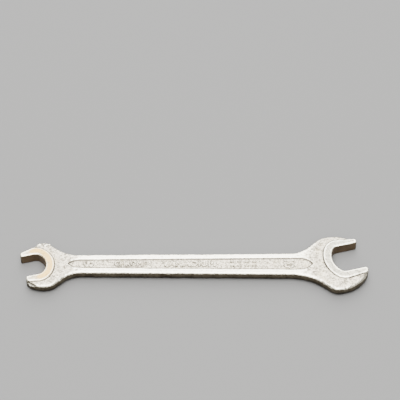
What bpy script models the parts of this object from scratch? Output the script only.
"""Double open-ended wrench, 8 mm and 10 mm, drop forged in one piece.

The wrench lies flat: X runs along the shank towards the 10 mm jaw, Z is up, and the
origin is the bottom centre of its bounding box. Both jaws are turned 15 degrees from the
shank, in the same direction of rotation, so the plan has the shape of a flat S.

Each head is a round web. A thicker collar of even width runs round its jaw and carries
the ground jaw faces, and the wrench rests on the undersides of its collars. The shank is
a bar that widens towards the 10 mm head. Both its faces have a sunk panel with pointed
ends, in which the jaw sizes stand up as numerals.
"""
import math
from types import SimpleNamespace

import bmesh
import bpy
from mathutils import Matrix, Vector

MM = 0.001

# ---- Driving dimensions ------------------------------------------------------------

LENGTH = 110.0 * MM            # between the outermost tips of the two heads
BODY_THICK = 3.0 * MM          # webs and shank
COLLAR_THICK = 3.8 * MM        # collars round the jaws
SHANK_WIDTH_8 = 7.2 * MM       # shank, carried on to the centre of the 8 mm head
SHANK_WIDTH_10 = 8.9 * MM      # shank, carried on to the centre of the 10 mm head
JAW_ANGLE = 15.0               # jaw axis against the shank, degrees
SHANK_OFFSET = 0.35 * MM       # shank axis from the heads' centres

BODY_EDGE = 0.7 * MM           # rounding of the web's and shank's long edges
COLLAR_EDGE = 0.25 * MM        # rounding of the collar's edges
TIP_ROUND_OUTER = 0.5          # a prong's plan corners are rounded by these shares
TIP_ROUND_INNER = 0.35         # of the width of its end
COLLAR_OVERLAP = 1.2 * MM      # how far the web reaches in under the collar

PANEL_RIM = 1.9 * MM           # shank left standing on each side of the sunk panel
PANEL_DEPTH = 0.35 * MM
PANEL_ROOT = 0.3 * MM          # hollow round between the panel's wall and its floor
PANEL_POINT = 4.4 * MM         # length of the panel's pointed ends

DIGIT_HEIGHT = 3.3 * MM        # along the shank
DIGIT_WIDTH = 1.65 * MM        # across the shank, for each digit
DIGIT_RISE = 0.25 * MM         # above the panel's floor
DIGIT_ROOT = 0.3 * MM          # how far the digits reach down into the shank

# Each head has its own plan frame: the origin is the centre of the web's circle and X
# points away from the shank. The jaw axis is turned by JAW_ANGLE, so the prong on the
# +Y side is the short one, and the prong on the -Y side is the long one.
HEAD_10 = SimpleNamespace(
    digits="10",
    shank_width=SHANK_WIDTH_10,
    gap=10.1 * MM,             # between the jaw faces
    radius=10.9 * MM,          # the web's circle
    jaw_offset=0.75 * MM,      # jaw axis from the circle's centre, to the short side
    throat=-0.6 * MM,          # bottom of the jaw, along the jaw axis
    tip=9.15 * MM,             # ends of the prongs, along the jaw axis
    throat_radius=7.2 * MM,    # the bottom's flat curve
    throat_corner=2.0 * MM,    # the bottom's curve into the jaw faces
    collar=2.75 * MM,          # width of the collar round the throat
    collar_tip_short=1.6 * MM, # width of the collar at the ends of the prongs
    collar_tip_long=2.1 * MM,
    web_end_short=8.0 * MM,    # where the web's rim stops, along the jaw axis
    web_end_long=8.0 * MM,
    web_slant_short=0.3 * MM,  # how much further the web runs where it meets the collar
    web_slant_long=0.3 * MM,
    neck_leaves_short=117.0,   # where the necks leave the web's circle, degrees
    neck_leaves_long=94.0,
    neck_short=8.5 * MM,       # hollow round between the shank and the neck
    neck_long=17.0 * MM,
    shoulder_short=6.0 * MM,   # round of the neck into the web's circle
    shoulder_long=4.0 * MM,
    panel_point=6.9 * MM,      # point of the panel from the circle's centre
    digit_inset=7.7 * MM,      # middle of the digits from the point of the panel
)
HEAD_8 = SimpleNamespace(
    digits="8",
    shank_width=SHANK_WIDTH_8,
    gap=8.1 * MM,
    radius=9.0 * MM,
    jaw_offset=-0.47 * MM,
    throat=-0.48 * MM,
    tip=6.7 * MM,
    throat_radius=4.9 * MM,
    throat_corner=2.3 * MM,
    collar=2.75 * MM,
    collar_tip_short=1.95 * MM,
    collar_tip_long=1.45 * MM,
    web_end_short=5.4 * MM,
    web_end_long=-0.5 * MM,
    web_slant_short=1.0 * MM,
    web_slant_long=2.4 * MM,
    neck_leaves_short=111.0,
    neck_leaves_long=94.0,
    neck_short=8.5 * MM,
    neck_long=11.0 * MM,
    shoulder_short=5.0 * MM,
    shoulder_long=3.5 * MM,
    panel_point=7.1 * MM,
    digit_inset=6.9 * MM,
)

NECK_SLOPE_SHORT = 44.0        # straight part of the neck against the shank, degrees
NECK_SLOPE_LONG = 38.5

ARC_STEP = 6.0                 # degrees between the points of an arc
CLEAR = 2.0 * MM               # how far a cutter runs past what it cuts
WELD = 0.000001                # distance at which a curve's loose caps are joined


# ---- Plane geometry ----------------------------------------------------------------

def polar(radius, degrees):
    """The point at this distance and angle from the origin."""
    angle = math.radians(degrees)
    return Vector((radius * math.cos(angle), radius * math.sin(angle)))


def heading(vector):
    """The angle of a vector, in degrees."""
    return math.degrees(math.atan2(vector.y, vector.x))


def nearest_turn(start, end):
    """The angle that points the same way as end and is nearest to start."""
    return start + (end - start + 180.0) % 360.0 - 180.0


def arc(centre, radius, start, end):
    """Points along an arc from one angle to the other, with both ends."""
    steps = max(2, math.ceil(abs(end - start) / ARC_STEP))
    return [centre + polar(radius, start + (end - start) * i / steps)
            for i in range(steps + 1)]


def round_corner(before, corner, after, radius):
    """The arc that rounds the corner between two straight lines."""
    into = (corner - before).normalized()
    out = (after - corner).normalized()
    turn = nearest_turn(0.0, heading(out) - heading(into))
    left = Vector((-into.y, into.x)) * math.copysign(1.0, turn)
    start = corner - into * radius * math.tan(math.radians(abs(turn) / 2))
    centre = start + left * radius
    first = heading(start - centre)
    return arc(centre, radius, first, first + turn)


def line_into_circle(point, direction, centre, radius, fillet):
    """The arc that carries a straight line on into the circle that it would leave."""
    along = direction.normalized()
    inward = Vector((-along.y, along.x))
    if inward.dot(centre - point) < 0:
        inward = -inward
    start = point + inward * fillet
    aside = inward.dot(centre - start)
    reach = math.sqrt(max((radius - fillet) ** 2 - aside ** 2, 0.0))
    middle = start + along * (along.dot(centre - start) + reach)
    first = heading(-inward)
    last = nearest_turn(first, heading(middle - centre))
    return arc(middle, fillet, first, last)


def meet(point_a, direction_a, point_b, direction_b):
    """The point where two straight lines cross."""
    normal = Vector((-direction_b.y, direction_b.x))
    return point_a + direction_a * (normal.dot(point_b - point_a) / normal.dot(direction_a))


def mirror(points):
    """The points on the other side of the X axis, in the opposite order."""
    return [Vector((p.x, -p.y)) for p in reversed(points)]


# ---- Outlines of a head, in its own frame -------------------------------------------

def jaw_to_head(head, points):
    """From the jaw's frame, whose X is the jaw axis, to the head's frame."""
    turn = Matrix.Rotation(math.radians(JAW_ANGLE), 2)
    shift = Vector((0.0, head.jaw_offset))
    return [turn @ (p + shift) for p in points]


def half_throat(head, grow):
    """One side of the jaw's bottom, in the jaw's frame, with its outline moved outwards.

    It runs from the end of the straight face on the +Y side to the middle of the bottom.
    """
    radius = head.throat_radius + grow
    half = head.gap / 2 + grow
    centre = Vector((head.throat - grow + radius, 0.0))
    corner = line_into_circle(Vector((head.tip, half)), Vector((-1.0, 0.0)),
                              centre, radius, head.throat_corner + grow)
    bottom = arc(centre, radius, heading(corner[-1] - centre), 180.0)
    return corner + bottom[1:]


def half_collar(head, tip_width):
    """One side of the collar, round its prong, from the jaw's bottom to its own bottom."""
    outer = half_throat(head, head.collar)
    inner = half_throat(head, 0.0)
    outer_tip = Vector((head.tip, head.gap / 2 + tip_width))
    inner_tip = Vector((head.tip, head.gap / 2))
    half = list(reversed(inner))
    half += round_corner(inner[0], inner_tip, outer_tip, tip_width * TIP_ROUND_INNER)
    half += round_corner(inner_tip, outer_tip, outer[0], tip_width * TIP_ROUND_OUTER)
    return half + outer


def collar_outline(head):
    """The collar: a U round the jaw, with rounded prong ends."""
    short = half_collar(head, head.collar_tip_short)
    long = half_collar(head, head.collar_tip_long)
    return jaw_to_head(head, short[:-1] + mirror(long)[:-1])


def web_cut_outline(head):
    """What is cut out of the web: the jaw as far as the middle of the collar's width.

    Past the point where the web stops on each side, the cut widens beyond the circle.
    """
    grow = head.collar - COLLAR_OVERLAP
    side = half_throat(head, grow)
    far = head.radius + CLEAR
    edge = head.gap / 2 + grow
    short = [Vector((far, far)), Vector((head.web_end_short, far)),
             Vector((head.web_end_short + head.web_slant_short, edge))] + side
    long = mirror(side)[1:] + [Vector((head.web_end_long + head.web_slant_long, -edge)),
                               Vector((head.web_end_long, -far)), Vector((far, -far))]
    return jaw_to_head(head, short + long)


def neck(head, other, distance, side, leaves_at, slope_of, hollow, shoulder):
    """One side of the neck, from the shank's edge to the head's circle."""
    here = Vector((0.0, side * head.shank_width / 2 - SHANK_OFFSET))
    there = Vector((-distance, side * other.shank_width / 2 - SHANK_OFFSET))
    leaves = polar(head.radius, side * leaves_at)
    slope = polar(1.0, side * slope_of)
    corner = meet(there, here - there, leaves, slope)
    into_head = line_into_circle(leaves, slope, Vector((0.0, 0.0)), head.radius, shoulder)
    return round_corner(there, corner, leaves, hollow) + into_head


def web_outline(head, other, distance):
    """A head's half of the body's outline, from the shank's +Y edge to its -Y edge."""
    short = neck(head, other, distance, 1.0, head.neck_leaves_short, NECK_SLOPE_SHORT,
                 head.neck_short, head.shoulder_short)
    long = neck(head, other, distance, -1.0, head.neck_leaves_long, NECK_SLOPE_LONG,
                head.neck_long, head.shoulder_long)
    circle = arc(Vector((0.0, 0.0)), head.radius, heading(short[-1]), heading(long[-1]))
    return short + circle[1:-1] + list(reversed(long))


# ---- Solids ------------------------------------------------------------------------

def new_collection(name):
    """A collection in the scene."""
    collection = bpy.data.collections.new(name)
    bpy.context.scene.collection.children.link(collection)
    return collection


def curve_to_mesh(curve_object, collection):
    """A mesh object in the place of a curve or text object, with its caps joined."""
    name = curve_object.name
    graph = bpy.context.evaluated_depsgraph_get()
    mesh = bpy.data.meshes.new_from_object(curve_object.evaluated_get(graph))
    place = curve_object.matrix_world.copy()
    bpy.data.objects.remove(curve_object)
    solid = bmesh.new()
    solid.from_mesh(mesh)
    bmesh.ops.remove_doubles(solid, verts=solid.verts, dist=WELD)
    bmesh.ops.recalc_face_normals(solid, faces=solid.faces)
    solid.to_mesh(mesh)
    solid.free()
    result = bpy.data.objects.new(name, mesh)
    result.matrix_world = place
    collection.objects.link(result)
    return result


def plate(name, outline, thickness, middle_z, edge, collection):
    """A flat solid of this outline, with rounded edges above and below."""
    curve = bpy.data.curves.new(name, "CURVE")
    curve.dimensions = "2D"
    curve.fill_mode = "BOTH"
    curve.extrude = thickness / 2 - edge
    curve.bevel_depth = edge
    curve.bevel_resolution = 1
    curve.offset = -edge
    spline = curve.splines.new("POLY")
    spline.points.add(len(outline) - 1)
    for point, place in zip(spline.points, outline):
        point.co = (place.x, place.y, 0.0, 1.0)
    spline.use_cyclic_u = True
    board = bpy.data.objects.new(name, curve)
    board.location.z = middle_z
    collection.objects.link(board)
    bpy.context.view_layer.update()
    return curve_to_mesh(board, collection)


def as_tool(tool):
    """Marks a solid that shapes another one and isn't part of the wrench."""
    tool.hide_render = True
    tool.display_type = "WIRE"
    return tool


def shape(target, tool, operation):
    """Cuts a tool out of the target, or joins it on."""
    boolean = target.modifiers.new(tool.name, "BOOLEAN")
    boolean.operation = operation
    boolean.solver = "EXACT"
    boolean.object = as_tool(tool)


def steel():
    """Satin plated steel."""
    material = bpy.data.materials.new("plated_steel")
    material.use_nodes = True
    shader = material.node_tree.nodes["Principled BSDF"]
    shader.inputs["Base Color"].default_value = (0.68, 0.66, 0.62, 1.0)
    shader.inputs["Metallic"].default_value = 1.0
    shader.inputs["Roughness"].default_value = 0.38
    return material


# ---- The wrench --------------------------------------------------------------------

class Layout:
    """Where the two heads and the panel lie along the shank.

    The shank axis is the X axis here, and the heads' centres are equally far from X = 0.
    """

    def __init__(self):
        reach = sum(max(p.x for p in collar_outline(head)) for head in (HEAD_10, HEAD_8))
        self.distance = LENGTH - reach

    def place(self, head, points):
        """From a head's own frame to the wrench's."""
        turned = 1.0 if head is HEAD_10 else -1.0
        centre = Vector((self.distance / 2, SHANK_OFFSET))
        return [(p + centre) * turned for p in points]

    def half_width(self, x):
        """Half of the shank's width at this place along it."""
        share = 0.5 + x / self.distance
        return (SHANK_WIDTH_8 + (SHANK_WIDTH_10 - SHANK_WIDTH_8) * share) / 2

    def panel_tip(self, head):
        """Distance of the panel's point from X = 0."""
        return self.distance / 2 - head.panel_point


def body_outline(layout):
    """The plan of both webs and the shank."""
    points = layout.place(HEAD_10, web_outline(HEAD_10, HEAD_8, layout.distance))
    points += layout.place(HEAD_8, web_outline(HEAD_8, HEAD_10, layout.distance))
    return points


def panel_outline(layout):
    """The sunk panel, which keeps an even rim on each side and ends in two points."""
    upper = []
    for side, head in ((-1.0, HEAD_8), (1.0, HEAD_10)):
        tip = layout.panel_tip(head)
        half = layout.half_width(side * (tip - PANEL_POINT)) - PANEL_RIM
        radius = (PANEL_POINT ** 2 + half ** 2) / (2 * half)
        centre = Vector((side * (tip - PANEL_POINT), half - radius))
        point = heading(Vector((side * tip, 0.0)) - centre)
        curve = arc(centre, radius, point, 90.0)
        upper += curve if side < 0 else list(reversed(curve))
    return upper + mirror(upper)[1:-1]


def digits(head, layout, side, collection):
    """A jaw size in raised digits, on the upper (side 1) or lower (side -1) face.

    The digits' tops point to their jaw.
    """
    name = f"digits_{head.digits}_{'upper' if side > 0 else 'lower'}"
    text = bpy.data.curves.new(name, "FONT")
    text.body = head.digits
    text.align_x = "CENTER"
    text.align_y = "CENTER"
    text.resolution_u = 2
    text.extrude = (DIGIT_ROOT + DIGIT_RISE) / 2
    words = bpy.data.objects.new(name, text)
    collection.objects.link(words)
    bpy.context.view_layer.update()
    solid = curve_to_mesh(words, collection)

    floor = BODY_THICK / 2 - PANEL_DEPTH
    low = Vector(min(v.co[i] for v in solid.data.vertices) for i in range(3))
    high = Vector(max(v.co[i] for v in solid.data.vertices) for i in range(3))
    size = high - low
    turned = 1.0 if head is HEAD_10 else -1.0
    centre = Vector((turned * (layout.panel_tip(head) - head.digit_inset), 0.0,
                     side * (floor + (DIGIT_RISE - DIGIT_ROOT) / 2)))
    width = DIGIT_WIDTH * len(head.digits)
    fit = (Matrix.Translation(centre)
           @ Matrix.Rotation(math.radians(-90.0 * turned), 4, "Z")
           @ Matrix.Rotation(0.0 if side > 0 else math.pi, 4, "Y")
           @ Matrix.Diagonal((width / size.x, DIGIT_HEIGHT / size.y, 1.0, 1.0))
           @ Matrix.Translation(-(low + high) / 2))
    solid.data.transform(fit)
    return solid


def stand_on_origin(mesh):
    """Moves a mesh so that the origin is the bottom centre of its bounding box."""
    low = Vector(min(v.co[i] for v in mesh.vertices) for i in range(3))
    high = Vector(max(v.co[i] for v in mesh.vertices) for i in range(3))
    middle = (low + high) / 2
    mesh.transform(Matrix.Translation((-middle.x, -middle.y, -low.z)))


def build_wrench():
    """Makes the forging and returns it."""
    parts = new_collection("open_ended_wrench")
    tools = new_collection("shaping_solids")
    layout = Layout()
    body = plate("forging", body_outline(layout), BODY_THICK, 0.0, BODY_EDGE, tools)

    for head in (HEAD_10, HEAD_8):
        cut = layout.place(head, web_cut_outline(head))
        jaw = plate(f"jaw_cut_{head.digits}", cut, COLLAR_THICK + CLEAR, 0.0, 0.0, tools)
        shape(body, jaw, "DIFFERENCE")
    for head in (HEAD_10, HEAD_8):
        ring = layout.place(head, collar_outline(head))
        collar = plate(f"collar_{head.digits}", ring, COLLAR_THICK, 0.0, COLLAR_EDGE, tools)
        shape(body, collar, "UNION")

    for side, face in ((1.0, "upper"), (-1.0, "lower")):
        middle = side * (BODY_THICK / 2 - PANEL_DEPTH + CLEAR / 2)
        panel = plate(f"panel_{face}", panel_outline(layout), CLEAR, middle, PANEL_ROOT, tools)
        shape(body, panel, "DIFFERENCE")
    for head in (HEAD_10, HEAD_8):
        for side in (1.0, -1.0):
            shape(body, digits(head, layout, side, tools), "UNION")

    bpy.context.view_layer.update()
    graph = bpy.context.evaluated_depsgraph_get()
    mesh = bpy.data.meshes.new_from_object(body.evaluated_get(graph))
    as_tool(body)
    body.name = "forging_before_finish"
    stand_on_origin(mesh)
    mesh.shade_smooth()
    mesh.set_sharp_from_angle(angle=math.radians(30.0))
    wrench = bpy.data.objects.new("wrench_forging", mesh)
    mesh.materials.clear()
    mesh.materials.append(steel())
    parts.objects.link(wrench)
    return wrench


for old in list(bpy.data.objects):
    bpy.data.objects.remove(old)
build_wrench()
